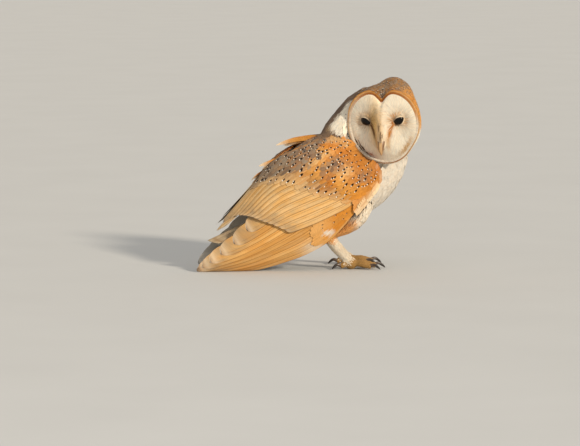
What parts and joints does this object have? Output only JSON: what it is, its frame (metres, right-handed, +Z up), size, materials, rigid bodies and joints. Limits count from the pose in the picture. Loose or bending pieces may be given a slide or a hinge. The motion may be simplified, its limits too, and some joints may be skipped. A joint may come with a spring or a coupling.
{
  "type": "barn owl",
  "caption": "Life-size barn owl standing with folded wings, its body leaning forward and its heart-shaped face turned back over the right shoulder.",
  "frame": {"origin": "bottom centre of the bird's bounding box, on the floor that its feet and right wing tip rest on", "axes": "+X the way the body heads, +Y the bird's left, +Z up"},
  "size_m": [0.2954, 0.1292, 0.2492],
  "materials": {
    "plumage_gold": "soft matt feathers, golden buff with grey vermiculation and small dark and white spots",
    "plumage_white": "soft matt feathers, white with a cream tint",
    "plumage_face": "fine matt radiating feathers, creamy white",
    "flight_feathers": "smooth satin vanes, pale gold with grey-brown bars",
    "toe_skin": "scaly, dull, with sparse bristles",
    "claw": "smooth dark horn",
    "bill": "pale pinkish horn, satin",
    "eye": "wet, nearly black"
  },
  "bodies": {
    "root": {"head": "plumage_gold", "mantle": "plumage_gold", "wing_right_coverts": "plumage_gold", "wing_left_coverts": "plumage_gold", "thigh_right": "plumage_gold", "thigh_left": "plumage_gold", "trunk": "plumage_white", "neck": "plumage_white", "tarsus_right": "plumage_white", "tarsus_left": "plumage_white", "facial_disc": "plumage_face", "tail": "flight_feathers", "wing_right_secondaries": "flight_feathers", "wing_left_secondaries": "flight_feathers", "wing_right_primaries": "flight_feathers", "wing_left_primaries": "flight_feathers", "foot_right": "toe_skin", "foot_left": "toe_skin", "claw_right_inner": "claw", "claw_right_middle": "claw", "claw_right_outer": "claw", "claw_right_hind": "claw", "claw_left_inner": "claw", "claw_left_middle": "claw", "claw_left_outer": "claw", "claw_left_hind": "claw", "bill_upper": "bill", "bill_lower": "bill", "eye_right": "eye", "eye_left": "eye"}
  },
  "joints": []
}
